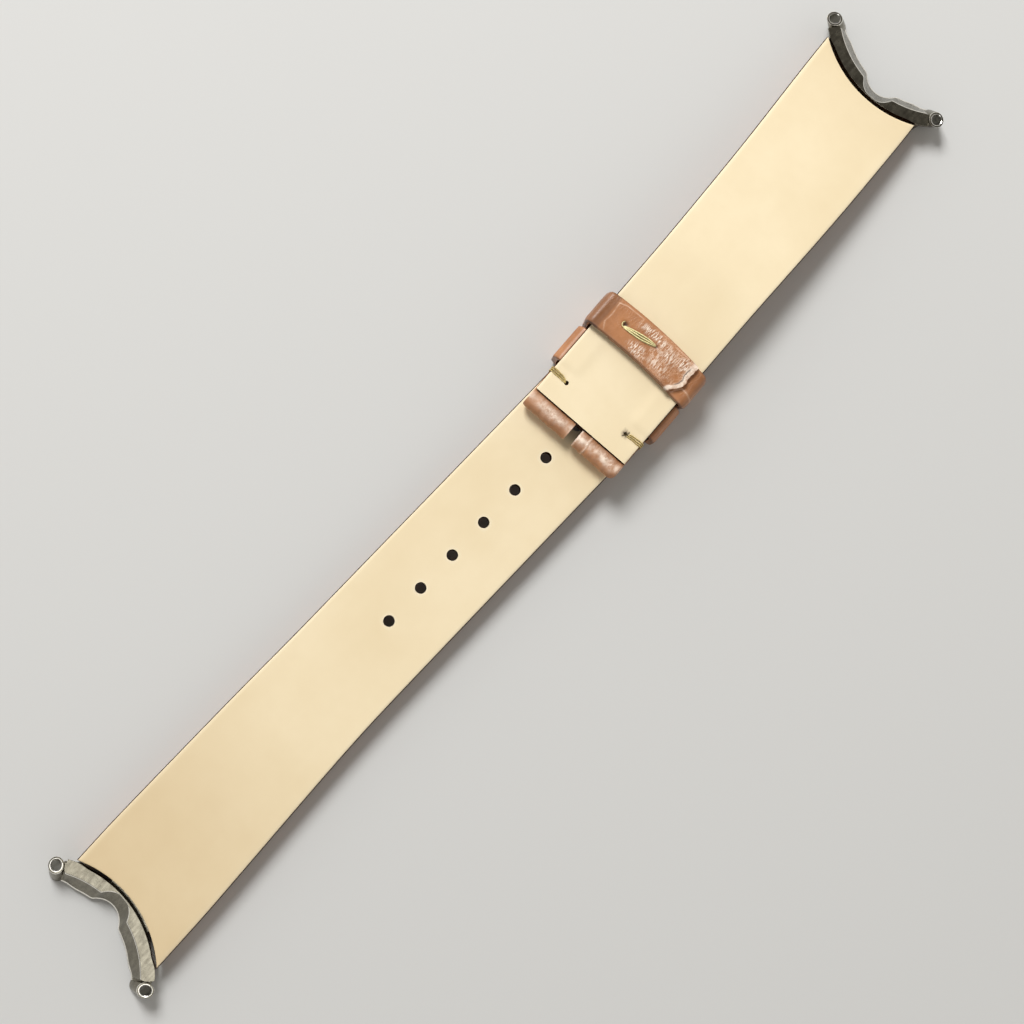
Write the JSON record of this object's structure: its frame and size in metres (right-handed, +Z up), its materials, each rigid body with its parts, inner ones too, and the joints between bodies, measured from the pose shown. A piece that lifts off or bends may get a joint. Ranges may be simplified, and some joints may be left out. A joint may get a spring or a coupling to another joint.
{
  "type": "watch strap",
  "caption": "Leather watch strap lying face down, its halves joined through a fixed and a free keeper, with metal end pieces at the lugs.",
  "frame": {"origin": "middle of the buckle bar tunnel in the short half's folded end", "axes": "+X along the short half towards its lug end, +Y along the bar tunnel, +Z up out of the lining"},
  "size_m": [0.1887, 0.0301, 0.0083],
  "materials": {
    "skin": "glossy pinkish-brown crocodile leather",
    "lining": "smooth undyed leather",
    "padding": "split leather",
    "metal": "dark nickel, satin",
    "thread": "waxed thread"
  },
  "bodies": {
    "short_buckle": {"short_skin_buckle": "skin", "short_padding_buckle": "padding", "short_lining_buckle": "lining", "fixed_keeper": "skin", "left_side_stitch": "thread", "right_side_stitch": "thread"},
    "short_middle": {"short_skin_middle": "skin", "short_padding_middle": "padding", "short_lining_middle": "lining"},
    "short_lug": {"short_skin_lug": "skin", "short_padding_lug": "padding", "short_lining_lug": "lining", "short_end_piece": "metal"},
    "free_keeper": {"free_keeper": "skin", "keeper_stitch": "thread"},
    "long_tip": {"long_skin_tip": "skin", "long_padding_tip": "padding", "long_lining_tip": "lining"},
    "long_middle": {"long_skin_middle": "skin", "long_padding_middle": "padding", "long_lining_middle": "lining"},
    "long_lug": {"long_skin_lug": "skin", "long_padding_lug": "padding", "long_lining_lug": "lining", "long_end_piece": "metal"}
  },
  "joints": [
    {"name": "free_keeper_slide", "type": "slide", "parent": "short_buckle", "child": "free_keeper", "axis": [1, 0, 0], "range_m": [0, 0.012]},
    {"name": "long_half_slide", "type": "slide", "parent": "short_buckle", "child": "long_tip", "axis": [-0.9985, 0.0541, 0], "range_m": [0, 0.03]},
    {"name": "short_bend_a", "type": "hinge", "parent": "short_buckle", "child": "short_middle", "pos_m": [0.0344, 0, 0.00135], "axis": [0, -1, 0], "range_deg": [0, 40]},
    {"name": "short_bend_b", "type": "hinge", "parent": "short_middle", "child": "short_lug", "pos_m": [0.05345, 0, 0.00002], "axis": [0, -1, 0], "range_deg": [0, 40]},
    {"name": "long_bend_a", "type": "hinge", "parent": "long_tip", "child": "long_middle", "pos_m": [-0.02255, 0.0018, -0.0017], "axis": [0.0541, 0.9985, 0], "range_deg": [0, 40]},
    {"name": "long_bend_b", "type": "hinge", "parent": "long_middle", "child": "long_lug", "pos_m": [-0.05965, 0.00381, -0.0017], "axis": [0.0541, 0.9985, 0], "range_deg": [0, 40]}
  ],
  "couplings": [
    {"joint": "short_bend_b", "follows": "short_bend_a", "ratio": 1},
    {"joint": "long_bend_b", "follows": "long_bend_a", "ratio": 1}
  ]
}
